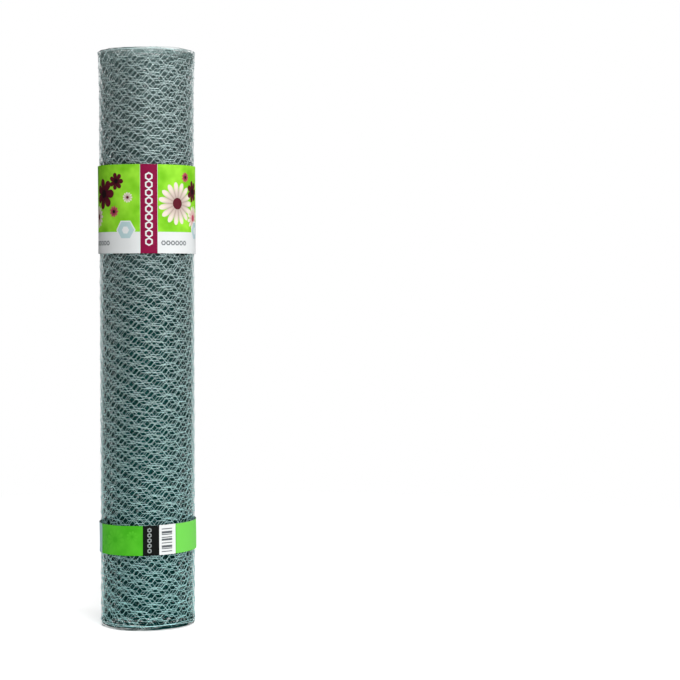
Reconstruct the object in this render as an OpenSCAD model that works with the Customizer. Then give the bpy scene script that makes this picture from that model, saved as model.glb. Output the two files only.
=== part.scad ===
// Roll of hexagonal wire netting, standing on its end, with two printed paper bands round it.
// Millimetres, +Z up. The origin is on the roll's axis, in the plane that it stands on.
// The front of the bands faces -Y, and their glued overlaps are at the back.

/* [Netting] */
// Width of the netting from edge wire to edge wire
netting_width = 1000; // [700:50:1500]
// Length of netting that is wound on the roll
netting_length = 15000; // [5000:500:25000]
// Radial room that each turn takes up
turn_pitch = 1.35; // [1.3:0.05:2.6]
// Diameter of the hollow at the middle of the roll
bore_diameter = 45; // [30:1:110]

/* [Ends] */
// Width of the flat edge that each turn shows on the two ends
turn_edge = 0.9; // [0.5:0.1:1.2]
// Depth of the gap between one turn's edge and the next
turn_gap_depth = 2.4; // [1:0.2:4]
// How far the turns have slid past each other, from the lowest one to the highest
turn_slide = 13; // [0:0.5:16]
// How far the outermost turn springs out at the top end
top_flare = 2; // [0:0.25:4]
// Height over which the outermost turn springs out
top_flare_height = 80; // [40:5:120]

/* [Bands] */
// Thickness of the paper that both bands are made of
paper_thickness = 0.3; // [0.1:0.05:0.6]
// Room between the paper and the outermost turn
paper_clearance = 0.3; // [0.1:0.05:0.6]
// Length of the paper's glued overlap, measured round the roll
paper_lap = 25; // [10:1:50]
// Height of the upper band
upper_band_height = 153; // [80:1:200]
// Distance from the top of the outermost turn down to the upper band
upper_band_drop = 198; // [140:1:300]
// Height of the lower band
lower_band_height = 52; // [30:1:100]
// Distance from the bottom of the outermost turn up to the lower band
lower_band_lift = 127; // [60:1:180]

/* [Hidden] */
$fn = 96;

bore_r = bore_diameter / 2;
// The wound netting fills a ring whose area is its length times the room of one turn
roll_r = sqrt(pow(bore_r, 2) + netting_length * turn_pitch / PI);
turns = floor((roll_r - bore_r) / turn_pitch);
turn_gap = turn_pitch - turn_edge;
flare_steps = 8;
// Angle from each turn's slide to the next one's, which spreads their heights evenly
slide_step = 137.5;
// The turn that the roll stands on, counted from the outermost one
lowest_turn = 2;

paper_r = roll_r + paper_clearance;
paper_lap_angle = paper_lap / (2 * PI * paper_r) * 360;
upper_band_rise = slide(0) + netting_width - upper_band_drop - upper_band_height;
lower_band_rise = slide(0) + lower_band_lift;

netting_grey = [0.50, 0.56, 0.55];
label_green = [0.50, 0.80, 0.18];

// How far a turn, counted from the outermost one, stands above the lowest one
function slide(turn) = turn_slide * (1 - cos((turn - lowest_turn) * slide_step)) / 2;

// Bottom of the gap inside a turn, which goes deeper than the edges on both sides of it
function gap_slide(turn, inward) =
    let (next = min(turn + 1, turns - 1))
    inward * max(inward * slide(turn), inward * slide(next)) + inward * turn_gap_depth;

// Edges and gaps of all the turns on one end, from the bore outwards, as [radius, height].
// The turns are spread evenly when the end is wider than the roll, and inward is +1 or -1.
function turn_edges(end_r, end_z, inward) =
    let (spread = (end_r - bore_r) / (roll_r - bore_r))
    [
        for (turn = [turns - 1:-1:0])
            let (outside = bore_r + (roll_r - turn * turn_pitch - bore_r) * spread)
            let (inside = outside - turn_edge * spread)
            let (gap_middle = inside - turn_gap * spread / 2)
            for (point = [
                [gap_middle, end_z + gap_slide(turn, inward)],
                [inside, end_z + slide(turn)],
                [outside, end_z + slide(turn)]
            ]) point
    ];

// Outer face near the top end, where the last turn springs out along a parabola
function flare_points() = [
    for (step = [0:flare_steps - 1])
        let (t = step / flare_steps)
        [roll_r + top_flare * t * t, netting_width + slide(0) - top_flare_height * (1 - t)]
];

function reversed(points) = [for (i = [len(points) - 1:-1:0]) points[i]];

// Half section of the wound netting, in the radius and height plane
module roll_section() {
    bottom = turn_edges(roll_r, 0, 1);
    top = turn_edges(roll_r + top_flare, netting_width, -1);
    polygon(concat(
        [[bore_r, gap_slide(turns - 1, 1)]],
        bottom,
        flare_points(),
        reversed(top),
        [[bore_r, netting_width + gap_slide(turns - 1, -1)]]
    ));
}

module netting_roll() {
    color(netting_grey)
        rotate_extrude() roll_section();
}

module ring(inner_r, outer_r) {
    difference() {
        circle(outer_r);
        circle(inner_r);
    }
}

// Strip of paper wrapped once round the roll, with its end glued over its start at the back
module paper_band(height) {
    lap_reach = 2 * paper_r;
    half_lap = paper_lap_angle / 2;
    linear_extrude(height) {
        ring(paper_r, paper_r + paper_thickness);
        intersection() {
            ring(paper_r, paper_r + 2 * paper_thickness);
            polygon([
                [0, 0],
                lap_reach * [-sin(half_lap), cos(half_lap)],
                lap_reach * [sin(half_lap), cos(half_lap)]
            ]);
        }
    }
}

module upper_band() {
    color(label_green)
        translate([0, 0, upper_band_rise]) paper_band(upper_band_height);
}

module lower_band() {
    color(label_green)
        translate([0, 0, lower_band_rise]) paper_band(lower_band_height);
}

netting_roll();
upper_band();
lower_band();
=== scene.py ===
# Looks of a roll of hexagonal wire netting that stands on its end, with two printed paper bands.
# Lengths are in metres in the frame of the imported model: +Z is up, and the front faces -Y.

import math

import bmesh
import bpy
import numpy as np
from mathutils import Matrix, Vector


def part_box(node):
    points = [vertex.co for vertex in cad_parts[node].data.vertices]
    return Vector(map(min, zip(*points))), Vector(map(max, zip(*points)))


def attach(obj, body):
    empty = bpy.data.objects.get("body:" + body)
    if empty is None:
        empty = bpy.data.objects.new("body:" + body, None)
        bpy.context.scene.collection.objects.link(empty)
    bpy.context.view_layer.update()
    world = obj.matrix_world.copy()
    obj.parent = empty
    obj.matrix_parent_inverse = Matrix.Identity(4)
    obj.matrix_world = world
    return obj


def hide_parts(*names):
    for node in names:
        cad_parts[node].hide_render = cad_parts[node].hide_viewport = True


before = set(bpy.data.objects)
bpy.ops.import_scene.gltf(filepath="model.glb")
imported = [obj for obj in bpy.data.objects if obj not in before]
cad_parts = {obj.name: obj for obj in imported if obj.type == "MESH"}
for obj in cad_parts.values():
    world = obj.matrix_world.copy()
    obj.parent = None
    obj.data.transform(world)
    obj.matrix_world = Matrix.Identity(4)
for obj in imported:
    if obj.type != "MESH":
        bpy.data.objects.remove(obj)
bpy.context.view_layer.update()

MM = 0.001
BODY = "root"
UV_MAP = "OFBake"
SEED = 7

# The roll's size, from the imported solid: its outermost turn springs out at the top end
roll_points = np.array([v.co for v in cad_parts["netting_roll"].data.vertices])
roll_radii = np.hypot(roll_points[:, 0], roll_points[:, 1])
ROLL_HEIGHT = float(roll_points[:, 2].max())
BORE_RADIUS = float(roll_radii.min())
ROLL_RADIUS = float(roll_radii[roll_points[:, 2] < ROLL_HEIGHT / 2].max())
TOP_FLARE = float(roll_radii.max()) - ROLL_RADIUS
FLARE_HEIGHT = 80 * MM

# The wires of the netting. The loose inner turns have thicker ones, so no light shows through the roll.
WIRE_RADIUS = 0.28 * MM
EDGE_WIRE_RADIUS = 0.4 * MM
INNER_WIRE_RADIUS = 0.6 * MM
EDGE_REACH = EDGE_WIRE_RADIUS + 2 * WIRE_RADIUS
# Ends of wire that lie this close to each other are joined
JOINING_DISTANCE = WIRE_RADIUS / 20

# The turns have slid past each other along the roll, by steps that spread their heights evenly.
# So the roll is higher than the netting is wide, by the room that they slide in.
ROOM_TO_SLIDE = 13 * MM
TURN_SLIDE = 12 * MM
SLIDE_STEP = math.radians(105.5)
LOWEST_TURN = 2.8
# The flat mesh is pulled out of shape, and its wires are dented, both by soft random waves
PULL = 1.5 * MM
PULL_SPACING = 85 * MM
DENT = 0.4 * MM
DENT_SPACING = 17 * MM
NETTING_WIDTH = ROLL_HEIGHT - ROOM_TO_SLIDE - 2 * EDGE_REACH - 2 * PULL
# The pull is weak at the foot, so the roll is set down by this much to touch the floor
SETTLING = 0.8 * MM

# The winding: the outer turns nest tightly, each with as many columns of mesh as the next one.
# That isn't a whole number, so their meshes don't line up. The inner turns lie looser.
NESTED_PITCH = 0.6 * MM
LOOSE_PITCH = 2.6 * MM
INNER_TURN_RADIUS = BORE_RADIUS + INNER_WIRE_RADIUS
OUTER_TURN_RADIUS = ROLL_RADIUS
NESTED_TURNS = 24
NESTED_COLUMNS = 19.236
NESTED_RADIUS = OUTER_TURN_RADIUS - NESTED_TURNS * NESTED_PITCH
TURNS = NESTED_TURNS + (NESTED_RADIUS - INNER_TURN_RADIUS) / LOOSE_PITCH
NETTING_END_ANGLE = math.radians(125)

# The pattern of the mesh: each twist lies along the netting, and stands half a row from its neighbours
ROWS = 37
ROW_PITCH = NETTING_WIDTH / ROWS
COLUMN_PITCH = 2 * math.pi * OUTER_TURN_RADIUS / NESTED_COLUMNS
TWIST_LENGTH = 0.6 * ROW_PITCH
INNER_LENGTH = math.pi * (NESTED_RADIUS**2 - INNER_TURN_RADIUS**2) / LOOSE_PITCH
COLUMNS = 2 * int((NESTED_TURNS * NESTED_COLUMNS + INNER_LENGTH / COLUMN_PITCH) / 2)
# The mesh starts above row 0, where the strands wind round the edge wire instead
LOWEST_ROW = 0.25

# Each unit of wire takes a patch of the UV map that is this wide, at its own height on the netting
UV_PATCH = 0.4
UNIT_SHARE = 2 * COLUMN_PITCH / UV_PATCH

# A noise texture seldom leaves the middle of its range by more than this
NOISE_REACH = 0.25
# Where in that range one shade has begun and ended its change into another
BLEND_FROM = 0.35
BLEND_TO = 0.65

# Places of the colour sockets on a Mix node
MIX_A = 6
MIX_B = 7
MIX_COLOUR = 2


def linear(hex_colour):
    """An sRGB hex colour as the linear colour that a shader takes."""
    channels = [int(hex_colour[i:i + 2], 16) / 255 for i in (1, 3, 5)]
    return [c / 12.92 if c <= 0.04045 else ((c + 0.055) / 1.055) ** 2.4 for c in channels] + [1.0]


def add_node(tree, kind, inputs=None, **settings):
    """Adds a node with its settings, and feeds its inputs from nodes, sockets or plain values."""
    node = tree.nodes.new(kind)
    for name, value in settings.items():
        setattr(node, name, value)
    for key, value in (inputs or {}).items():
        if isinstance(value, bpy.types.Node):
            value = value.outputs[0]
        if isinstance(value, bpy.types.NodeSocket):
            tree.links.new(value, node.inputs[key])
        else:
            node.inputs[key].default_value = value
    return node


def new_material(name):
    """An empty node material and its tree."""
    material = bpy.data.materials.new(name)
    material.use_nodes = True
    material.node_tree.nodes.clear()
    return material, material.node_tree


def mesh_object(name, mesh):
    """An object at the origin that shows a mesh."""
    piece = bpy.data.objects.new(name, mesh)
    bpy.context.scene.collection.objects.link(piece)
    return piece


# Materials


def galvanised_steel_wire(name, fresh_zinc, weathered_zinc, glint, gloss):
    """Drawn steel wire, hot dipped in zinc after it was woven: grey metal under a thin chalky coat, dull
    where the zinc has started to weather and brighter in runs where it is fresh. It is bluer towards
    the foot, and lighter towards the top, which is painted light from above. Glint is the colour of
    its reflections at a flat angle."""
    blue_zinc = linear("#cafdfc")
    # Lighter zinc that is mixed in towards the top: painted light from above
    top_lit_zinc = linear("#def8f6")
    run_length = 9 * MM
    least_blue_at = 0.95
    least_blueness = 0.34
    top_light_from = 0.55
    top_light_share = 0.34
    metal_share = 0.6
    weathered_roughness = 0.42
    fresh_roughness = 0.28
    material, tree = new_material(name)
    uv = add_node(tree, "ShaderNodeUVMap", uv_map=UV_MAP)
    flat = add_node(tree, "ShaderNodeMapping", {"Vector": uv, "Scale": (UV_PATCH, NETTING_WIDTH, 1)})
    runs = add_node(tree, "ShaderNodeTexNoise", {"Vector": flat, "Scale": 1 / run_length, "Detail": 3})
    bright = add_node(tree, "ShaderNodeMapRange", {0: runs, 1: BLEND_FROM, 2: BLEND_TO})
    zinc = add_node(
        tree,
        "ShaderNodeMix",
        {0: bright, MIX_A: linear(weathered_zinc), MIX_B: linear(fresh_zinc)},
        data_type="RGBA",
    )
    place = add_node(tree, "ShaderNodeSeparateXYZ", {"Vector": uv}).outputs
    blueness = add_node(
        tree, "ShaderNodeMapRange", {0: place["Y"], 1: least_blue_at, 2: 0.0, 3: least_blueness, 4: 1.0}
    )
    colour = add_node(
        tree,
        "ShaderNodeMix",
        {0: blueness, MIX_A: zinc.outputs[MIX_COLOUR], MIX_B: blue_zinc},
        data_type="RGBA",
        blend_type="MULTIPLY",
    )
    # Painted light: the wire's colour turns lighter towards the top
    painted_top_light = add_node(
        tree, "ShaderNodeMapRange", {0: place["Y"], 1: top_light_from, 2: 1.0, 3: 0.0, 4: top_light_share}
    )
    with_top_light = add_node(
        tree,
        "ShaderNodeMix",
        {0: painted_top_light, MIX_A: colour.outputs[MIX_COLOUR], MIX_B: top_lit_zinc},
        data_type="RGBA",
    )
    rough = add_node(
        tree, "ShaderNodeMapRange", {0: bright, 3: weathered_roughness, 4: fresh_roughness}
    )
    surface = add_node(
        tree,
        "ShaderNodeBsdfPrincipled",
        {
            "Base Color": with_top_light.outputs[MIX_COLOUR],
            "Metallic": metal_share,
            "Roughness": rough,
            "Specular IOR Level": gloss,
            "Specular Tint": linear(glint),
        },
    )
    add_node(tree, "ShaderNodeOutputMaterial", {"Surface": surface})
    return material


# Netting


def wire_rings(path, radius, sides):
    """Rings of points round a wire. The first and last points of the path only give directions."""
    path = np.array(path, float)
    steps = np.diff(path, axis=0)
    steps /= np.linalg.norm(steps, axis=1)[:, None]
    along = steps[:-1] + steps[1:]
    along /= np.linalg.norm(along, axis=1)[:, None]
    mitre = 1 / np.einsum("ij,ij->i", along, steps[1:])
    beside = np.cross(along, (0, 0, 1))
    beside /= np.linalg.norm(beside, axis=1)[:, None]
    above = np.cross(beside, along)
    turn = 2 * math.pi * (np.arange(sides) + 0.5) / sides
    across = np.cos(turn)[None, :, None] * (mitre[:, None] * beside)[:, None, :]
    out = np.sin(turn)[None, :, None] * above[:, None, :]
    return path[1:-1, None, :] + radius * (across + out)


def wire_mesh(name, wires):
    """A mesh of open tubes from lists of rings."""
    points = []
    faces = []
    for rings in wires:
        count, sides = rings.shape[:2]
        first = len(points)
        points.extend(rings.reshape(-1, 3))
        for i in range(count - 1):
            for k in range(sides):
                here = first + i * sides
                beyond = here + sides
                after = (k + 1) % sides
                faces.append((here + k, beyond + k, beyond + after, here + after))
    mesh = bpy.data.meshes.new(name)
    mesh.from_pydata([tuple(p) for p in points], [], faces)
    return mesh


def twist_path(side, segments, turns, middle_y, lay_radius):
    """Middle line of one strand through a twist, as it winds one way and then back.
    The upper strand has side +1 and the lower one -1."""
    path = []
    for i in range(segments + 1):
        t = i / segments
        phase = 2 * math.pi * turns * (1 - abs(2 * t - 1))
        path.append((
            (t - 0.5) * TWIST_LENGTH,
            middle_y + side * lay_radius * math.cos(phase),
            side * lay_radius * math.sin(phase),
        ))
    return path


def strand(side, segments, turns, sides, wire_radius, middle_y, lay_radius):
    """One strand of a twist and the straight run from it to the next column's twist."""
    leave = ROW_PITCH / 2 - wire_radius
    twist = twist_path(side, segments, turns, middle_y, lay_radius)
    neighbour = twist_path(-side, segments, turns, 0.0, wire_radius)
    before = (TWIST_LENGTH / 2 - COLUMN_PITCH, side * leave, 0.0)
    arrive = (COLUMN_PITCH - TWIST_LENGTH / 2, side * leave, 0.0)
    beyond = (
        COLUMN_PITCH + neighbour[1][0],
        side * ROW_PITCH / 2 + neighbour[1][1],
        neighbour[1][2],
    )
    return wire_rings([before, *twist, arrive, beyond], wire_radius, sides)


def mesh_unit(name, segments, turns, sides, radius=WIRE_RADIUS):
    """One twist of the netting with the two runs that leave it."""
    strands = [strand(side, segments, turns, sides, radius, 0.0, radius) for side in (1, -1)]
    return wire_mesh(name, strands)


def edge_units(segments, turns, sides, edge_segments):
    """Two columns of the foot's edge and of the top's: a straight edge wire, and the strand round it."""
    lay_radius = WIRE_RADIUS + EDGE_WIRE_RADIUS
    middle_y = WIRE_RADIUS - lay_radius
    wrapped = strand(1, segments, turns, sides, WIRE_RADIUS, middle_y, lay_radius)
    start = -TWIST_LENGTH / 2
    step = 2 * COLUMN_PITCH / edge_segments
    edge_path = [(start + step * i, middle_y, 0.0) for i in range(-1, edge_segments + 2)]
    edge = wire_rings(edge_path, EDGE_WIRE_RADIUS, sides)
    foot = [wrapped, edge]
    over = np.array((1, -1, -1))
    top = [rings * over + (0, NETTING_WIDTH, 0) for rings in foot]
    return wire_mesh("foot_edge_unit", foot), wire_mesh("top_edge_unit", top)


def winding_tree():
    """Geometry Nodes that repeat a unit of wire over the netting and wind the sheet into the roll."""
    tree = bpy.data.node_groups.new("wind_netting", "GeometryNodeTree")
    tree.interface.new_socket("Geometry", in_out="INPUT", socket_type="NodeSocketGeometry")
    for label, kind in (
        ("First Column", "Int"),
        ("Columns", "Int"),
        ("Column Step", "Int"),
        ("Rows", "Int"),
        ("Lowest Row", "Float"),
        ("Column Pitch", "Float"),
        ("Row Pitch", "Float"),
        ("Netting Width", "Float"),
        ("Last Column", "Int"),
        ("End Angle", "Float"),
        ("Outer Radius", "Float"),
        ("Nested Pitch", "Float"),
        ("Loose Pitch", "Float"),
        ("Nested Turns", "Int"),
        ("Nested Columns", "Float"),
        ("Material", "Material"),
        ("Turn Slide", "Float"),
        ("Slide Step", "Float"),
        ("Lowest Turn", "Float"),
        ("Base Height", "Float"),
        ("Top Flare", "Float"),
        ("Flare Height", "Float"),
        ("Pull", "Float"),
        ("Pull Spacing", "Float"),
        ("Dent", "Float"),
        ("Dent Spacing", "Float"),
    ):
        tree.interface.new_socket(label, in_out="INPUT", socket_type="NodeSocket" + kind)
    tree.interface.new_socket("Geometry", in_out="OUTPUT", socket_type="NodeSocketGeometry")
    given = add_node(tree, "NodeGroupInput").outputs

    # One point for each twist, column by column, with every other column half a row higher
    count = add_node(
        tree, "ShaderNodeMath", {0: given["Columns"], 1: given["Rows"]}, operation="MULTIPLY"
    )
    index = add_node(tree, "GeometryNodeInputIndex")
    share = add_node(tree, "ShaderNodeMath", {0: index, 1: given["Rows"]}, operation="DIVIDE")
    step = add_node(tree, "ShaderNodeMath", {0: share}, operation="FLOOR")
    column = add_node(
        tree,
        "ShaderNodeMath",
        {0: step, 1: given["Column Step"], 2: given["First Column"]},
        operation="MULTIPLY_ADD",
    )
    row = add_node(tree, "ShaderNodeMath", {0: index, 1: given["Rows"]}, operation="FLOORED_MODULO")
    odd = add_node(tree, "ShaderNodeMath", {0: column, 1: 2.0}, operation="FLOORED_MODULO")
    shifted_row = add_node(tree, "ShaderNodeMath", {0: odd, 1: 0.5, 2: row}, operation="MULTIPLY_ADD")
    along = add_node(
        tree, "ShaderNodeMath", {0: column, 1: given["Column Pitch"]}, operation="MULTIPLY"
    )
    up = add_node(
        tree, "ShaderNodeMath", {0: shifted_row, 1: given["Row Pitch"]}, operation="MULTIPLY"
    )
    place = add_node(tree, "ShaderNodeCombineXYZ", {"X": along, "Y": up})
    points = add_node(tree, "GeometryNodePoints", {"Count": count, "Position": place})
    inside = add_node(
        tree,
        "FunctionNodeCompare",
        {0: shifted_row, 1: given["Lowest Row"]},
        data_type="FLOAT",
        operation="GREATER_EQUAL",
    )

    # Each unit keeps its own place along the netting, and a random patch of the UV map
    lot = add_node(
        tree, "FunctionNodeRandomValue", {2: 0.0, 3: 1.0 - UNIT_SHARE, "Seed": SEED}, data_type="FLOAT"
    )
    with_lot = add_node(
        tree,
        "GeometryNodeStoreNamedAttribute",
        {"Geometry": points, "Name": "lot", "Value": lot.outputs[1]},
        data_type="FLOAT",
        domain="POINT",
    )
    with_start = add_node(
        tree,
        "GeometryNodeStoreNamedAttribute",
        {"Geometry": with_lot, "Name": "start", "Value": along},
        data_type="FLOAT",
        domain="POINT",
    )
    units = add_node(
        tree,
        "GeometryNodeInstanceOnPoints",
        {"Points": with_start, "Selection": inside, "Instance": given["Geometry"]},
    )
    sheet = add_node(tree, "GeometryNodeRealizeInstances", {"Geometry": units})
    position = add_node(tree, "GeometryNodeInputPosition")
    flat = add_node(tree, "ShaderNodeSeparateXYZ", {"Vector": position}).outputs
    unit_lot = add_node(tree, "GeometryNodeInputNamedAttribute", {"Name": "lot"}, data_type="FLOAT")
    unit_start = add_node(tree, "GeometryNodeInputNamedAttribute", {"Name": "start"}, data_type="FLOAT")
    offset = add_node(tree, "ShaderNodeMath", {0: flat["X"], 1: unit_start}, operation="SUBTRACT")
    from_left = add_node(tree, "ShaderNodeMath", {0: offset, 1: TWIST_LENGTH / 2}, operation="ADD")
    patch_u = add_node(
        tree, "ShaderNodeMath", {0: from_left, 1: 1 / UV_PATCH, 2: unit_lot}, operation="MULTIPLY_ADD"
    )
    patch_v = add_node(
        tree, "ShaderNodeMath", {0: flat["Y"], 1: given["Netting Width"]}, operation="DIVIDE"
    )
    patch = add_node(tree, "ShaderNodeCombineXYZ", {"X": patch_u, "Y": patch_v})
    mapped = add_node(
        tree,
        "GeometryNodeStoreNamedAttribute",
        {"Geometry": sheet, "Name": UV_MAP, "Value": patch},
        data_type="FLOAT2",
        domain="CORNER",
    )
    no_lot = add_node(tree, "GeometryNodeRemoveAttribute", {"Geometry": mapped, "Name": "lot"})
    no_start = add_node(tree, "GeometryNodeRemoveAttribute", {"Geometry": no_lot, "Name": "start"})
    woven = add_node(
        tree, "GeometryNodeMergeByDistance", {"Geometry": no_start, "Distance": JOINING_DISTANCE}
    )

    # The flat mesh is pulled out of shape, smoothly enough that neighbouring cells stay joined,
    # and its wires are dented
    moves = {}
    for label, detail in (("Pull", 1.0), ("Dent", 0.0)):
        scale = add_node(
            tree, "ShaderNodeMath", {0: 1.0, 1: given[label + " Spacing"]}, operation="DIVIDE"
        )
        noise = add_node(
            tree, "ShaderNodeTexNoise", {"Vector": position, "Scale": scale, "Detail": detail}
        )
        about_zero = add_node(
            tree,
            "ShaderNodeVectorMath",
            {0: noise.outputs["Color"], 1: (0.5, 0.5, 0.5)},
            operation="SUBTRACT",
        )
        reach = add_node(
            tree, "ShaderNodeMath", {0: given[label], 1: NOISE_REACH}, operation="DIVIDE"
        )
        move = add_node(
            tree, "ShaderNodeVectorMath", {0: about_zero, "Scale": reach}, operation="SCALE"
        )
        moves[label] = add_node(tree, "ShaderNodeSeparateXYZ", {"Vector": move}).outputs

    # The turns have slid past each other along the roll
    whole = add_node(
        tree, "ShaderNodeMath", {0: given["Last Column"], 1: given["Column Pitch"]}, operation="MULTIPLY"
    )
    turn_length = add_node(
        tree,
        "ShaderNodeMath",
        {0: given["Nested Columns"], 1: given["Column Pitch"]},
        operation="MULTIPLY",
    )
    flat_from_end = add_node(tree, "ShaderNodeMath", {0: whole, 1: flat["X"]}, operation="SUBTRACT")
    flat_turn = add_node(tree, "ShaderNodeMath", {0: flat_from_end, 1: turn_length}, operation="DIVIDE")
    from_lowest = add_node(
        tree, "ShaderNodeMath", {0: flat_turn, 1: given["Lowest Turn"]}, operation="SUBTRACT"
    )
    phase = add_node(
        tree, "ShaderNodeMath", {0: from_lowest, 1: given["Slide Step"]}, operation="MULTIPLY"
    )
    swing = add_node(tree, "ShaderNodeMath", {0: phase}, operation="COSINE")
    even_swing = add_node(tree, "ShaderNodeMath", {0: swing}, operation="ARCCOSINE")
    slide = add_node(
        tree, "ShaderNodeMapRange", {0: even_swing, 1: 0.0, 2: math.pi, 4: given["Turn Slide"]}
    )
    move = add_node(
        tree,
        "ShaderNodeCombineXYZ",
        {"X": moves["Pull"]["X"], "Y": moves["Pull"]["Y"], "Z": moves["Dent"]["Z"]},
    )
    pulled = add_node(tree, "ShaderNodeVectorMath", {0: position, 1: move}, operation="ADD")
    sheet_place = add_node(tree, "ShaderNodeSeparateXYZ", {"Vector": pulled}).outputs

    # Winding, from the outer end inwards: the nested turns take the same number of columns each,
    # and the wound area of the loose ones grows with their length
    from_end = add_node(tree, "ShaderNodeMath", {0: whole, 1: sheet_place["X"]}, operation="SUBTRACT")
    nested = add_node(tree, "ShaderNodeMath", {0: from_end, 1: turn_length}, operation="DIVIDE")
    nested_turn = add_node(
        tree, "ShaderNodeMath", {0: nested, 1: given["Nested Turns"]}, operation="MINIMUM"
    )
    past_nested = add_node(
        tree, "ShaderNodeMath", {0: nested, 1: nested_turn}, operation="SUBTRACT"
    )
    loose_length = add_node(
        tree, "ShaderNodeMath", {0: past_nested, 1: turn_length}, operation="MULTIPLY"
    )
    nested_depth = add_node(
        tree, "ShaderNodeMath", {0: given["Nested Turns"], 1: given["Nested Pitch"]}, operation="MULTIPLY"
    )
    nested_radius = add_node(
        tree, "ShaderNodeMath", {0: given["Outer Radius"], 1: nested_depth}, operation="SUBTRACT"
    )
    nested_square = add_node(
        tree, "ShaderNodeMath", {0: nested_radius, 1: 2.0}, operation="POWER"
    )
    growth = add_node(tree, "ShaderNodeMath", {0: given["Loose Pitch"], 1: -math.pi}, operation="DIVIDE")
    square = add_node(
        tree, "ShaderNodeMath", {0: loose_length, 1: growth, 2: nested_square}, operation="MULTIPLY_ADD"
    )
    loose_radius = add_node(tree, "ShaderNodeMath", {0: square}, operation="SQRT")
    loose_depth = add_node(
        tree, "ShaderNodeMath", {0: nested_radius, 1: loose_radius}, operation="SUBTRACT"
    )
    loose_turn = add_node(
        tree, "ShaderNodeMath", {0: loose_depth, 1: given["Loose Pitch"]}, operation="DIVIDE"
    )
    turn = add_node(tree, "ShaderNodeMath", {0: nested_turn, 1: loose_turn}, operation="ADD")
    depth = add_node(
        tree,
        "ShaderNodeMath",
        {0: nested_turn, 1: given["Nested Pitch"], 2: loose_depth},
        operation="MULTIPLY_ADD",
    )
    radius = add_node(tree, "ShaderNodeMath", {0: given["Outer Radius"], 1: depth}, operation="SUBTRACT")
    angle = add_node(
        tree,
        "ShaderNodeMath",
        {0: turn, 1: -2 * math.pi, 2: given["End Angle"]},
        operation="MULTIPLY_ADD",
    )
    wound = add_node(tree, "ShaderNodeMath", {0: radius, 1: given["Outer Radius"]}, operation="DIVIDE")

    # The turns spring out towards the top end, the outermost one furthest
    flare_from = add_node(
        tree,
        "ShaderNodeMath",
        {0: given["Netting Width"], 1: given["Flare Height"]},
        operation="SUBTRACT",
    )
    near_top = add_node(
        tree, "ShaderNodeMapRange", {0: sheet_place["Y"], 1: flare_from, 2: given["Netting Width"]}
    )
    bow = add_node(tree, "ShaderNodeMath", {0: near_top, 1: 2.0}, operation="POWER")
    outer_bow = add_node(tree, "ShaderNodeMath", {0: bow, 1: wound}, operation="MULTIPLY")
    sprung = add_node(
        tree,
        "ShaderNodeMath",
        {0: outer_bow, 1: given["Top Flare"], 2: radius},
        operation="MULTIPLY_ADD",
    )
    reach = add_node(tree, "ShaderNodeMath", {0: sprung, 1: sheet_place["Z"]}, operation="ADD")

    lifted = add_node(
        tree, "ShaderNodeMath", {0: slide, 1: given["Base Height"]}, operation="ADD"
    )
    height = add_node(tree, "ShaderNodeMath", {0: sheet_place["Y"], 1: lifted}, operation="ADD")

    cosine = add_node(tree, "ShaderNodeMath", {0: angle}, operation="COSINE")
    sine = add_node(tree, "ShaderNodeMath", {0: angle}, operation="SINE")
    x = add_node(tree, "ShaderNodeMath", {0: reach, 1: cosine}, operation="MULTIPLY")
    y = add_node(tree, "ShaderNodeMath", {0: reach, 1: sine}, operation="MULTIPLY")
    on_roll = add_node(tree, "ShaderNodeCombineXYZ", {"X": x, "Y": y, "Z": height})

    roll = add_node(tree, "GeometryNodeSetPosition", {"Geometry": woven, "Position": on_roll})
    smooth = add_node(tree, "GeometryNodeSetShadeSmooth", {"Geometry": roll})
    finished = add_node(
        tree, "GeometryNodeSetMaterial", {"Geometry": smooth, "Material": given["Material"]}
    )
    add_node(tree, "NodeGroupOutput", {"Geometry": finished})
    return tree


def close_wire_ends(mesh):
    """Puts a flat cut face on every open wire end."""
    work = bmesh.new()
    work.from_mesh(mesh)
    open_edges = [edge for edge in work.edges if edge.is_boundary]
    bmesh.ops.holes_fill(work, edges=open_edges)
    work.to_mesh(mesh)
    work.free()


def wound_piece(name, tree, unit, finish, **sizes):
    """A plain mesh piece: one unit of wire, repeated and wound by the tree."""
    piece = mesh_object(name, unit)
    modifier = piece.modifiers.new("winding", "NODES")
    modifier.node_group = tree
    values = {
        "Material": finish,
        "Column Step": 1,
        "Rows": ROWS,
        "Lowest Row": LOWEST_ROW,
        "Column Pitch": COLUMN_PITCH,
        "Row Pitch": ROW_PITCH,
        "Netting Width": NETTING_WIDTH,
        "Last Column": COLUMNS,
        "End Angle": NETTING_END_ANGLE,
        "Outer Radius": OUTER_TURN_RADIUS,
        "Nested Pitch": NESTED_PITCH,
        "Loose Pitch": LOOSE_PITCH,
        "Nested Turns": NESTED_TURNS,
        "Nested Columns": NESTED_COLUMNS,
        "Turn Slide": TURN_SLIDE,
        "Slide Step": SLIDE_STEP,
        "Lowest Turn": LOWEST_TURN,
        "Base Height": EDGE_REACH + PULL - SETTLING,
        "Top Flare": TOP_FLARE,
        "Flare Height": FLARE_HEIGHT,
        "Pull": PULL,
        "Pull Spacing": PULL_SPACING,
        "Dent": DENT,
        "Dent Spacing": DENT_SPACING,
        **sizes,
    }
    for item in tree.interface.items_tree:
        if item.in_out == "INPUT" and item.name in values:
            modifier[item.identifier] = values[item.name]
    shown = piece.evaluated_get(bpy.context.evaluated_depsgraph_get())
    mesh = bpy.data.meshes.new_from_object(shown)
    piece.modifiers.clear()
    piece.data = mesh
    mesh.name = name
    close_wire_ends(mesh)
    return piece


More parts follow.
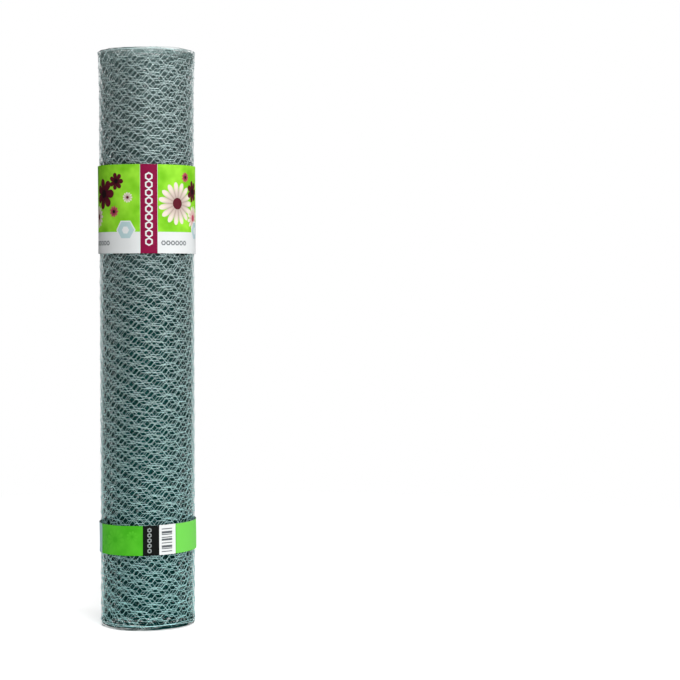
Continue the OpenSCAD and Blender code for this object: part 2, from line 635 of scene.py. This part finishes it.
def column_at(turn):
    """The column where a turn ends, counted in turns from the outside."""
    radius = max(NESTED_RADIUS - max(turn - NESTED_TURNS, 0) * LOOSE_PITCH, INNER_TURN_RADIUS)
    loose_length = math.pi * (NESTED_RADIUS**2 - radius**2) / LOOSE_PITCH
    inward = NESTED_COLUMNS * min(turn, NESTED_TURNS) + loose_length / COLUMN_PITCH
    return max(COLUMNS - round(inward), 0)


def make_netting():
    """All the turns of netting. The outer turns show each strand, and the inner ones are plainer and take
    darker copies of the zinc: painted shade inside the roll, and a painted shadow under its foot."""
    tree = winding_tree()
    zinc = galvanised_steel_wire("galvanised_steel_wire", "#ffffff", "#f2f6f5", "#ffffff", gloss=0.5)
    # Darker copies of the same zinc for the inner turns and their edges: painted shade inside the roll
    zinc_in_light_shade = galvanised_steel_wire(
        "galvanised_steel_wire_in_light_shade", "#8a9896", "#657270", "#8ca5a3", gloss=0.2
    )
    zinc_in_shade = galvanised_steel_wire(
        "galvanised_steel_wire_in_shade", "#386b69", "#244947", "#3d7b78", gloss=0.05
    )
    zinc_in_deep_shade = galvanised_steel_wire(
        "galvanised_steel_wire_in_deep_shade", "#1d514f", "#133634", "#2a5c5a", gloss=0.05
    )
    fine = mesh_unit("fine_unit", segments=12, turns=1.5, sides=4)
    middle = mesh_unit("middle_unit", segments=6, turns=0.75, sides=3)
    plain = mesh_unit("plain_unit", segments=1, turns=0.0, sides=3)
    thick = mesh_unit("thick_unit", segments=1, turns=0.0, sides=3, radius=INNER_WIRE_RADIUS)
    # Each layer's name, unit of wire and finish, and the turns from which and to which it goes
    layers = (
        ("netting_turn_1", fine, zinc, 0, 1),
        ("netting_turns_2_3", middle, zinc, 1, 3),
        ("netting_turns_4_7", plain, zinc, 3, 7),
        # From turn 8 inwards the turns take painted shade, darker further in
        ("netting_turns_8_12", plain, zinc_in_shade, 7, 12),
        ("netting_turns_13_18", plain, zinc_in_deep_shade, 12, 18),
        ("netting_turns_19_24", plain, zinc_in_deep_shade, 18, 24),
        ("netting_turns_25_to_bore", thick, zinc_in_deep_shade, 24, TURNS),
    )
    pieces = []
    for name, unit, finish, outside, inside in layers:
        first = column_at(inside)
        span = {"First Column": first, "Columns": column_at(outside) - first}
        pieces.append(wound_piece(name, tree, unit, finish, **span))
    foot_edge, top_edge = edge_units(segments=10, turns=1.5, sides=4, edge_segments=6)
    edge_layers = (
        ("top_edge_wires", top_edge, zinc, 0, 2),
        # Inner edge wires take the darker copies: painted shade at the top end, and a painted shadow
        # under the foot
        ("inner_top_edge_wires", top_edge, zinc_in_light_shade, 2, TURNS),
        ("foot_edge_wires", foot_edge, zinc, 0, 2),
        ("inner_foot_edge_wires", foot_edge, zinc_in_deep_shade, 2, TURNS),
    )
    for name, unit, finish, outside, inside in edge_layers:
        first = 2 * (column_at(inside) // 2)
        columns = 2 * (column_at(outside) // 2) - first
        pieces.append(wound_piece(name, tree, unit, finish, **{
            "First Column": first,
            "Columns": columns // 2,
            "Column Step": 2,
            "Rows": 1,
            "Lowest Row": 0.0,
        }))
    for piece in pieces:
        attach(piece, BODY)
        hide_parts("netting_roll")


# Paper bands

PAPER_THICKNESS = 0.3 * MM
PAPER_LAP = 25 * MM
LAP_RAMP = 5 * MM
# The strip's end lies over its start, and this many thicknesses of paper further out
LAP_LIFT = 1.1
# Ripples of the paper: waves round the roll, where they start, and how they lean, in radians
RIPPLES = ((3, 1.0, 2), (7, 2.3, -3), (13, 0.0, 5))
# The paper's edges stand off the roll by this share of the ripple, and the curl is kept close to them
EDGE_CURL = 0.6
CURL_POWER = 6
SHARP_ANGLE = math.radians(40)
# The printed face takes the lower part of the band's UV map, and the bare back of the paper the rest
PRINTED_SHARE = 0.9
BACK_LOW = 0.93
BACK_HIGH = 0.98
# The strips are wrapped loosely, so they stand a little off the netting
PAPER_SLACK = 1.2 * MM
BAND_RADIUS = (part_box("lower_band")[1].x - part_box("lower_band")[0].x) / 2 + PAPER_SLACK
LAP_ANGLE = PAPER_LAP / BAND_RADIUS
STRIP_ANGLE = 2 * math.pi + LAP_ANGLE
STRIP_LENGTH_MM = STRIP_ANGLE * BAND_RADIUS / MM


def band_piece(name, node, finish, tilt, ripple, around, up):
    """A strip of paper round the roll, with its end glued over its start at the back.
    Tilt lifts the strip's right side and drops its left side by that much."""
    low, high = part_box(node)
    share = np.linspace(0, 1, around + 1)[:, None]
    rise = np.linspace(0, 1, up + 1)[None, :]
    turn = math.pi / 2 - LAP_ANGLE / 2 + STRIP_ANGLE * share
    from_end = (1 - share) * STRIP_ANGLE * BAND_RADIUS
    climb = np.clip((PAPER_LAP + LAP_RAMP - from_end) / LAP_RAMP, 0, 1)
    lap_lift = PAPER_THICKNESS * LAP_LIFT * climb * climb * (3 - 2 * climb)
    wave = sum(np.sin(count * turn + start + lean * rise) for count, start, lean in RIPPLES)
    edge_curl = (2 * rise - 1) ** CURL_POWER
    outer = BAND_RADIUS + lap_lift + ripple * (wave / len(RIPPLES) + EDGE_CURL * edge_curl)
    height = low.z + (high.z - low.z) * rise + tilt * np.cos(turn)
    points = []
    for radius in (outer, outer - PAPER_THICKNESS):
        x = radius * np.cos(turn)
        y = radius * np.sin(turn)
        points.append(np.stack([x, y, np.broadcast_to(height, x.shape)], axis=-1).reshape(-1, 3))
    points = np.concatenate(points)
    row = up + 1
    back = (around + 1) * row
    faces = []
    spots = []

    def printed(i, j):
        return (i / around, PRINTED_SHARE * j / up)

    def bare(i, j):
        return (i / around, BACK_LOW + (BACK_HIGH - BACK_LOW) * j / up)

    for i in range(around):
        for j in range(up):
            corners = [(i, j), (i + 1, j), (i + 1, j + 1), (i, j + 1)]
            faces.append([a * row + b for a, b in corners])
            spots.extend(printed(a, b) for a, b in corners)
            faces.append([back + a * row + b for a, b in reversed(corners)])
            spots.extend(bare(a, b) for a, b in reversed(corners))
    rim = [(i, 0) for i in range(around)]
    rim += [(around, j) for j in range(up)]
    rim += [(i, up) for i in range(around, 0, -1)]
    rim += [(0, j) for j in range(up, 0, -1)]
    for here, beyond in zip(rim, rim[1:] + rim[:1]):
        corners = [here, beyond]
        front = [a * row + b for a, b in corners]
        faces.append([front[1], front[0], back + front[0], back + front[1]])
        spots.extend(bare(a, b) for a, b in (beyond, here, here, beyond))
    mesh = bpy.data.meshes.new(name)
    mesh.from_pydata([tuple(p) for p in points], [], faces)
    uv = mesh.uv_layers.new(name=UV_MAP)
    uv.data.foreach_set("uv", np.array(spots, np.float32).ravel())
    mesh.polygons.foreach_set("use_smooth", [True] * len(faces))
    mesh.set_sharp_from_angle(angle=SHARP_ANGLE)
    mesh.materials.append(finish)
    piece = mesh_object(name, mesh)
    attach(piece, BODY)
    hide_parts(node)
    return piece


def printed_places(tree, node):
    """Millimetres round the band from its front and up from its lower edge, and 1 on the paper's back."""
    low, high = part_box(node)
    height_mm = (high.z - low.z) / MM
    uv = add_node(tree, "ShaderNodeUVMap", uv_map=UV_MAP)
    place = add_node(tree, "ShaderNodeSeparateXYZ", {"Vector": uv}).outputs
    around = add_node(
        tree,
        "ShaderNodeMath",
        {0: place["X"], 1: STRIP_LENGTH_MM, 2: -STRIP_LENGTH_MM / 2},
        operation="MULTIPLY_ADD",
    )
    up = add_node(
        tree, "ShaderNodeMath", {0: place["Y"], 1: height_mm / PRINTED_SHARE}, operation="MULTIPLY"
    )
    backed = add_node(
        tree,
        "ShaderNodeMath",
        {0: place["Y"], 1: (PRINTED_SHARE + BACK_LOW) / 2},
        operation="GREATER_THAN",
    )
    return around, up, backed


def coated_paper_surface(tree, print_colour, around, up, backed):
    """Ends a print as coated label paper: a soft gloss that breaks up where the strip is creased."""
    bare_paper = linear("#d9d6cd")
    crease_mm = 16
    crease_from = 0.3
    crease_to = 0.7
    crease_strength = 0.12
    crease_depth = 2 * MM
    flat_roughness = 0.5
    creased_roughness = 0.65
    coat_ior = 1.5
    coat_gloss = 0.12
    colour = add_node(
        tree, "ShaderNodeMix", {0: backed, MIX_A: print_colour, MIX_B: bare_paper}, data_type="RGBA"
    )
    place = add_node(tree, "ShaderNodeCombineXYZ", {"X": around, "Y": up})
    crease = add_node(
        tree, "ShaderNodeTexNoise", {"Vector": place, "Scale": 1 / crease_mm, "Detail": 4}
    )
    rough = add_node(
        tree,
        "ShaderNodeMapRange",
        {0: crease, 1: crease_from, 2: crease_to, 3: flat_roughness, 4: creased_roughness},
    )
    bump = add_node(
        tree,
        "ShaderNodeBump",
        {"Height": crease, "Strength": crease_strength, "Distance": crease_depth},
    )
    surface = add_node(
        tree,
        "ShaderNodeBsdfPrincipled",
        {
            "Base Color": colour.outputs[MIX_COLOUR],
            "Roughness": rough,
            "Normal": bump,
            "IOR": coat_ior,
            "Specular IOR Level": coat_gloss,
        },
    )
    add_node(tree, "ShaderNodeOutputMaterial", {"Surface": surface})


def printed_flower():
    """A node group that prints one flower over a colour: round petals, shaded towards a dark heart."""
    petal_roundness = 0.45
    petal_notch = 0.45
    heart_share = 0.27
    shade_from = 0.1
    shade_to = 0.75
    deepest_shade = 0.6
    group = bpy.data.node_groups.new("printed_flower", "ShaderNodeTree")
    for label, kind in (
        ("Ground", "Color"),
        ("Around", "Float"),
        ("Up", "Float"),
        ("Middle", "Vector"),
        ("Radius", "Float"),
        ("Petals", "Float"),
        ("Petal Colour", "Color"),
        ("Heart Colour", "Color"),
    ):
        group.interface.new_socket(label, in_out="INPUT", socket_type="NodeSocket" + kind)
    group.interface.new_socket("Colour", in_out="OUTPUT", socket_type="NodeSocketColor")
    given = add_node(group, "NodeGroupInput").outputs
    spot = add_node(group, "ShaderNodeCombineXYZ", {"X": given["Around"], "Y": given["Up"]})
    away = add_node(group, "ShaderNodeVectorMath", {0: spot, 1: given["Middle"]}, operation="SUBTRACT")
    parts = add_node(group, "ShaderNodeSeparateXYZ", {"Vector": away}).outputs
    distance = add_node(group, "ShaderNodeVectorMath", {0: away}, operation="LENGTH").outputs["Value"]
    share = add_node(group, "ShaderNodeMath", {0: distance, 1: given["Radius"]}, operation="DIVIDE")
    angle = add_node(group, "ShaderNodeMath", {0: parts["Y"], 1: parts["X"]}, operation="ARCTAN2")
    half_petals = add_node(group, "ShaderNodeMath", {0: given["Petals"], 1: 0.5}, operation="MULTIPLY")
    phase = add_node(group, "ShaderNodeMath", {0: angle, 1: half_petals}, operation="MULTIPLY")
    wave = add_node(group, "ShaderNodeMath", {0: phase}, operation="COSINE")
    lobe = add_node(group, "ShaderNodeMath", {0: wave}, operation="ABSOLUTE")
    round_lobe = add_node(group, "ShaderNodeMath", {0: lobe, 1: petal_roundness}, operation="POWER")
    rim = add_node(group, "ShaderNodeMapRange", {0: round_lobe, 3: petal_notch, 4: 1.0})
    petal = add_node(group, "ShaderNodeMath", {0: share, 1: rim}, operation="LESS_THAN")
    heart = add_node(group, "ShaderNodeMath", {0: share, 1: heart_share}, operation="LESS_THAN")
    veined = add_node(group, "ShaderNodeMath", {0: round_lobe, 1: share}, operation="MULTIPLY")
    shade = add_node(
        group, "ShaderNodeMapRange", {0: veined, 1: shade_from, 2: shade_to, 3: deepest_shade, 4: 0.0}
    )
    shaded = add_node(
        group,
        "ShaderNodeMix",
        {0: shade, MIX_A: given["Petal Colour"], MIX_B: given["Heart Colour"]},
        data_type="RGBA",
    )
    with_petals = add_node(
        group,
        "ShaderNodeMix",
        {0: petal, MIX_A: given["Ground"], MIX_B: shaded.outputs[MIX_COLOUR]},
        data_type="RGBA",
    )
    with_heart = add_node(
        group,
        "ShaderNodeMix",
        {0: heart, MIX_A: with_petals.outputs[MIX_COLOUR], MIX_B: given["Heart Colour"]},
        data_type="RGBA",
    )
    add_node(group, "NodeGroupOutput", {"Colour": with_heart.outputs[MIX_COLOUR]})
    return group


def printed_hexagons():
    """A node group that prints a row of hexagon rings over a colour, along its Around input."""
    group = bpy.data.node_groups.new("printed_hexagons", "ShaderNodeTree")
    for label, kind in (
        ("Ground", "Color"),
        ("Around", "Float"),
        ("Up", "Float"),
        ("First", "Vector"),
        ("Step", "Float"),
        ("Last", "Float"),
        ("Radius", "Float"),
        ("Hole", "Float"),
        ("Ink", "Color"),
    ):
        group.interface.new_socket(label, in_out="INPUT", socket_type="NodeSocket" + kind)
    group.interface.new_socket("Colour", in_out="OUTPUT", socket_type="NodeSocketColor")
    given = add_node(group, "NodeGroupInput").outputs
    spot = add_node(group, "ShaderNodeCombineXYZ", {"X": given["Around"], "Y": given["Up"]})
    away = add_node(group, "ShaderNodeVectorMath", {0: spot, 1: given["First"]}, operation="SUBTRACT")
    parts = add_node(group, "ShaderNodeSeparateXYZ", {"Vector": away}).outputs
    steps = add_node(group, "ShaderNodeMath", {0: parts["X"], 1: given["Step"]}, operation="DIVIDE")
    nearest = add_node(group, "ShaderNodeMath", {0: steps}, operation="ROUND")
    number = add_node(group, "ShaderNodeClamp", {"Value": nearest, "Min": 0.0, "Max": given["Last"]})
    reached = add_node(group, "ShaderNodeMath", {0: number, 1: given["Step"]}, operation="MULTIPLY")
    beside = add_node(group, "ShaderNodeMath", {0: parts["X"], 1: reached}, operation="SUBTRACT")
    wide = add_node(group, "ShaderNodeMath", {0: beside}, operation="ABSOLUTE")
    high = add_node(group, "ShaderNodeMath", {0: parts["Y"]}, operation="ABSOLUTE")
    half_high = add_node(group, "ShaderNodeMath", {0: high, 1: 0.5}, operation="MULTIPLY")
    sloped = add_node(
        group,
        "ShaderNodeMath",
        {0: wide, 1: math.cos(math.radians(30)), 2: half_high},
        operation="MULTIPLY_ADD",
    )
    reach = add_node(group, "ShaderNodeMath", {0: sloped, 1: high}, operation="MAXIMUM")
    outside = add_node(group, "ShaderNodeMath", {0: reach, 1: given["Radius"]}, operation="LESS_THAN")
    hole = add_node(group, "ShaderNodeMath", {0: reach, 1: given["Hole"]}, operation="GREATER_THAN")
    ring = add_node(group, "ShaderNodeMath", {0: outside, 1: hole}, operation="MULTIPLY")
    inked = add_node(
        group, "ShaderNodeMix", {0: ring, MIX_A: given["Ground"], MIX_B: given["Ink"]}, data_type="RGBA"
    )
    add_node(group, "NodeGroupOutput", {"Colour": inked.outputs[MIX_COLOUR]})
    return group


def printed_panel(tree, colour, place, low, high, ink):
    """A colour with a panel of ink printed over it, where a place lies between two limits."""
    inside = add_node(
        tree, "ShaderNodeMath", {0: place, 1: (low + high) / 2, 2: (high - low) / 2}, operation="COMPARE"
    )
    panel = add_node(tree, "ShaderNodeMix", {0: inside, MIX_A: colour, MIX_B: ink}, data_type="RGBA")
    return panel.outputs[MIX_COLOUR]


def blotched(tree, around, up, first, second, spacing_mm):
    """Two shades of ink that run into each other in soft blotches."""
    place = add_node(tree, "ShaderNodeCombineXYZ", {"X": around, "Y": up})
    noise = add_node(tree, "ShaderNodeTexNoise", {"Vector": place, "Scale": 1 / spacing_mm, "Detail": 2})
    share = add_node(tree, "ShaderNodeMapRange", {0: noise, 1: BLEND_FROM, 2: BLEND_TO})
    blotches = add_node(tree, "ShaderNodeMix", {0: share, MIX_A: first, MIX_B: second}, data_type="RGBA")
    return blotches.outputs[MIX_COLOUR]


def with_flowers(tree, group, colour, around, up, flowers):
    """A colour with flowers printed over it, each given by its place, radius, petals and two inks."""
    for place, radius, petals, petal_ink, heart_ink in flowers:
        flower = add_node(
            tree,
            "ShaderNodeGroup",
            {
                "Ground": colour,
                "Around": around,
                "Up": up,
                "Middle": (*place, 0),
                "Radius": radius,
                "Petals": petals,
                "Petal Colour": petal_ink,
                "Heart Colour": heart_ink,
            },
            node_tree=group,
        )
        colour = flower.outputs["Colour"]
    return colour


def with_hexagons(tree, group, colour, around, up, rows):
    """A colour with rows of hexagon rings printed over it. Each row is given by the middle of its first
    ring, the radius, the hole's radius, the last ring's number, the step between rings and the ink."""
    for first, radius, hole, last, step, ink in rows:
        row = add_node(
            tree,
            "ShaderNodeGroup",
            {
                "Ground": colour,
                "Around": around,
                "Up": up,
                "First": (*first, 0),
                "Step": step,
                "Last": last,
                "Radius": radius,
                "Hole": hole,
                "Ink": ink,
            },
            node_tree=group,
        )
        colour = row.outputs["Colour"]
    return colour


def printed_upper_paper(flower, hexagons):
    """Coated paper, offset printed: a green meadow with flowers over a white foot, and crimson stripes
    with a row of plain hexagons. The inks are strong and even, with a soft sheen."""
    green = linear("#6fba18")
    light_green = linear("#96db37")
    white = linear("#d5d8d8")
    crimson = linear("#800539")
    cream = linear("#dfd2c5")
    dark_red = linear("#561322")
    near_black = linear("#1c0a0e")
    rose = linear("#b3435c")
    pale_blue = linear("#a9c2c5")
    grey = linear("#6f7477")
    # The foot starts a little below the paper's edge, so no green is left there
    foot_mm = (-1, 37)
    blotch_mm = 35
    stripe_step_mm = 150
    stripe_middle_mm = 3.5
    stripe_mm = 29.5
    border_mm = 0.5
    material, tree = new_material("printed_upper_paper")
    around, up, backed = printed_places(tree, "upper_band")
    meadow = blotched(tree, around, up, green, light_green, blotch_mm)
    meadow = with_flowers(tree, flower, meadow, around, up, (
        ((-89, 103), 27, 7, dark_red, near_black),
        ((-57, 124), 15, 7, dark_red, near_black),
        ((-113, 64), 19, 13, cream, dark_red),
        ((-62, 72), 10, 9, rose, near_black),
        ((-34, 96), 9, 11, cream, dark_red),
        ((57, 86), 37, 15, cream, dark_red),
        ((104, 62), 21, 13, cream, rose),
        ((101, 108), 19, 7, dark_red, near_black),
        ((76, 132), 9, 9, rose, near_black),
        ((212, 94), 30, 13, cream, dark_red),
        ((250, 70), 18, 7, dark_red, near_black),
        ((184, 66), 10, 9, rose, near_black),
        ((-206, 96), 25, 7, dark_red, near_black),
        ((-246, 74), 21, 13, cream, dark_red),
        ((-180, 128), 10, 9, rose, near_black),
    ))
    colour = printed_panel(tree, meadow, up, *foot_mm, white)
    colour = with_hexagons(tree, hexagons, colour, around, up, (
        ((-38, 40), 16, 0, 0, 1, white),
        ((-38, 40), 14, 6, 0, 1, pale_blue),
        ((114, 40), 16, 0, 0, 1, white),
        ((114, 40), 14, 6, 0, 1, pale_blue),
        ((29, 18), 4, 2, 5, 9, grey),
        ((-122, 18), 4, 2, 5, 9, grey),
    ))
    to_stripe = add_node(
        tree,
        "ShaderNodeMath",
        {0: around, 1: stripe_step_mm / 2 - stripe_middle_mm},
        operation="ADD",
    )
    in_step = add_node(
        tree, "ShaderNodeMath", {0: to_stripe, 1: stripe_step_mm}, operation="FLOORED_MODULO"
    )
    across = add_node(tree, "ShaderNodeMath", {0: in_step, 1: stripe_step_mm / 2}, operation="SUBTRACT")
    half_stripe = stripe_mm / 2
    half_border = half_stripe + border_mm
    colour = printed_panel(tree, colour, across, -half_border, half_border, white)
    colour = printed_panel(tree, colour, across, -half_stripe, half_stripe, crimson)
    colour = with_hexagons(tree, hexagons, colour, up, across, (((20, 0), 6.5, 4.0, 8, 14.0, white),))
    coated_paper_surface(tree, colour, around, up, backed)
    return material


def printed_lower_paper(flower, hexagons):
    """Coated paper, offset printed: two greens with faint flowers, a black panel with plain hexagons and
    a white one with bars."""
    green = linear("#3ea716")
    light_green = linear("#4fb725")
    pale_green = linear("#6bc64d")
    black = linear("#050806")
    white = linear("#d9dcdb")
    pale_blue = linear("#a4c1c8")
    ink = linear("#575c60")
    grey = linear("#8d9392")
    blotch_mm = 30
    pale_panel_mm = (52, 200)
    blue_panel_mm = (-150, -103)
    black_panel_mm = (-9, 19.5)
    white_panel_mm = (19.5, 50.5)
    bars_around_mm = (24, 43.5)
    bars_up_mm = (4, 48)
    # Spacing and width of two sets of bars, which overlap unevenly
    bar_sets_mm = ((4.9, 1.6), (12.3, 3.3))
    material, tree = new_material("printed_lower_paper")
    around, up, backed = printed_places(tree, "lower_band")
    colour = blotched(tree, around, up, green, light_green, blotch_mm)
    colour = with_flowers(tree, flower, colour, around, up, (
        ((-62, 27), 19, 11, light_green, green),
        ((-88, 20), 12, 9, light_green, green),
        ((-28, 33), 10, 9, light_green, green),
    ))
    for panel, panel_ink in (
        (pale_panel_mm, pale_green),
        (blue_panel_mm, pale_blue),
        (black_panel_mm, black),
        (white_panel_mm, white),
    ):
        colour = printed_panel(tree, colour, around, *panel, panel_ink)
    bars = white
    for spacing, width in bar_sets_mm:
        in_spacing = add_node(tree, "ShaderNodeMath", {0: up, 1: spacing}, operation="FLOORED_MODULO")
        bars = printed_panel(tree, bars, in_spacing, 0, width, ink)
    bar_column = printed_panel(tree, white, up, *bars_up_mm, bars)
    colour = printed_panel(tree, colour, around, *bars_around_mm, bar_column)
    colour = with_hexagons(tree, hexagons, colour, up, around, (((8, 2.5), 3.6, 1.8, 4, 9.0, grey),))
    coated_paper_surface(tree, colour, around, up, backed)
    return material


def make_bands():
    """The wide printed band near the top and the narrow one near the foot."""
    flower = printed_flower()
    hexagons = printed_hexagons()
    upper_paper = printed_upper_paper(flower, hexagons)
    lower_paper = printed_lower_paper(flower, hexagons)
    band_piece(
        "upper_paper_band", "upper_band", upper_paper, tilt=0.0, ripple=0.3 * MM, around=320, up=24
    )
    band_piece(
        "lower_paper_band", "lower_band", lower_paper, tilt=2 * MM, ripple=0.4 * MM, around=320, up=10
    )


# Studio


def make_camera():
    """The photograph's view: level with the upper half of the roll, which stands left of the middle."""
    frame_pixels = 680
    distance = 3.3
    height = 0.618
    pixels_per_metre = 563.5
    roll_column = 147.2
    horizon_row = 274.8
    sensor = 36.0
    focal_pixels = pixels_per_metre * distance
    yaw = math.atan((frame_pixels / 2 - roll_column) / focal_pixels)
    pitch = math.atan((frame_pixels / 2 - horizon_row) / focal_pixels)
    data = bpy.data.cameras.new("camera")
    data.sensor_width = sensor
    data.lens = sensor * focal_pixels / frame_pixels
    camera = bpy.data.objects.new("camera", data)
    camera.location = (0, -distance, height)
    camera.rotation_euler = (math.pi / 2 - pitch, 0, -yaw)
    bpy.context.scene.collection.objects.link(camera)
    bpy.context.scene.camera = camera


def softbox(name, place, size, watts, target):
    """A square area light that faces a point."""
    data = bpy.data.lights.new(name, "AREA")
    data.size = size
    data.energy = watts
    light = bpy.data.objects.new(name, data)
    light.location = place
    light.rotation_euler = (Vector(target) - Vector(place)).to_track_quat("-Z", "Y").to_euler()
    bpy.context.scene.collection.objects.link(light)


def make_studio():
    """A white floor that glows a little, soft lights from the right and from the front, and surroundings
    that are bright on the right and overhead, and dark on the left and at the back."""
    floor_radius = 2.0
    floor_sides = 96
    floor_roughness = 0.8
    floor_glow = 0.62
    side_reach = 0.8
    right_level = 0.4
    overhead_from = 0.6
    overhead_to = 0.9
    overhead_level = 0.8
    front_to = -0.1
    back_from = 0.5
    back_share = 0.1
    # Matt paint, rolled on: an even white with a soft shadow under the roll and no glints
    paint, tree = new_material("white_painted_floor")
    white = linear("#fbfbfb")
    surface = add_node(
        tree,
        "ShaderNodeBsdfPrincipled",
        {
            "Base Color": white,
            "Roughness": floor_roughness,
            "Emission Color": white,
            "Emission Strength": floor_glow,
        },
    )
    add_node(tree, "ShaderNodeOutputMaterial", {"Surface": surface})
    turns = [2 * math.pi * i / floor_sides for i in range(floor_sides)]
    rim = [(floor_radius * math.cos(turn), floor_radius * math.sin(turn), 0) for turn in turns]
    mesh = bpy.data.meshes.new("floor")
    mesh.from_pydata(rim, [], [list(range(floor_sides))])
    mesh.materials.append(paint)
    mesh_object("floor", mesh)
    middle = (0, 0, ROLL_HEIGHT / 2)
    softbox("right_softbox", place=(2.6, -1.5, 1.6), size=0.9, watts=25, target=middle)
    softbox("front_softbox", place=(0.5, -2.1, 1.9), size=1.0, watts=34.5, target=middle)
    world = bpy.data.worlds.new("studio")
    world.use_nodes = True
    tree = world.node_tree
    tree.nodes.clear()
    direction = add_node(tree, "ShaderNodeTexCoord").outputs["Generated"]
    turned = add_node(tree, "ShaderNodeSeparateXYZ", {"Vector": direction}).outputs
    sides = add_node(
        tree,
        "ShaderNodeMapRange",
        {0: turned["X"], 1: -side_reach, 2: side_reach, 3: 0.0, 4: right_level},
    )
    overhead = add_node(
        tree,
        "ShaderNodeMapRange",
        {0: turned["Z"], 1: overhead_from, 2: overhead_to, 3: 0.0, 4: overhead_level},
    )
    around = add_node(tree, "ShaderNodeMath", {0: sides, 1: overhead}, operation="ADD")
    ahead = add_node(
        tree, "ShaderNodeMapRange", {0: turned["Y"], 1: front_to, 2: back_from, 3: 1.0, 4: back_share}
    )
    level = add_node(tree, "ShaderNodeMath", {0: around, 1: ahead}, operation="MULTIPLY")
    seen = add_node(tree, "ShaderNodeLightPath").outputs["Is Camera Ray"]
    strength = add_node(tree, "ShaderNodeMix", {0: seen, 2: level, 3: 1.0}, data_type="FLOAT")
    glow = add_node(tree, "ShaderNodeBackground", {"Color": linear("#ffffff"), "Strength": strength})
    add_node(tree, "ShaderNodeOutputWorld", {"Surface": glow})
    bpy.context.scene.world = world
    bpy.context.scene.view_settings.view_transform = "Standard"


make_camera()
make_netting()
make_bands()
make_studio()
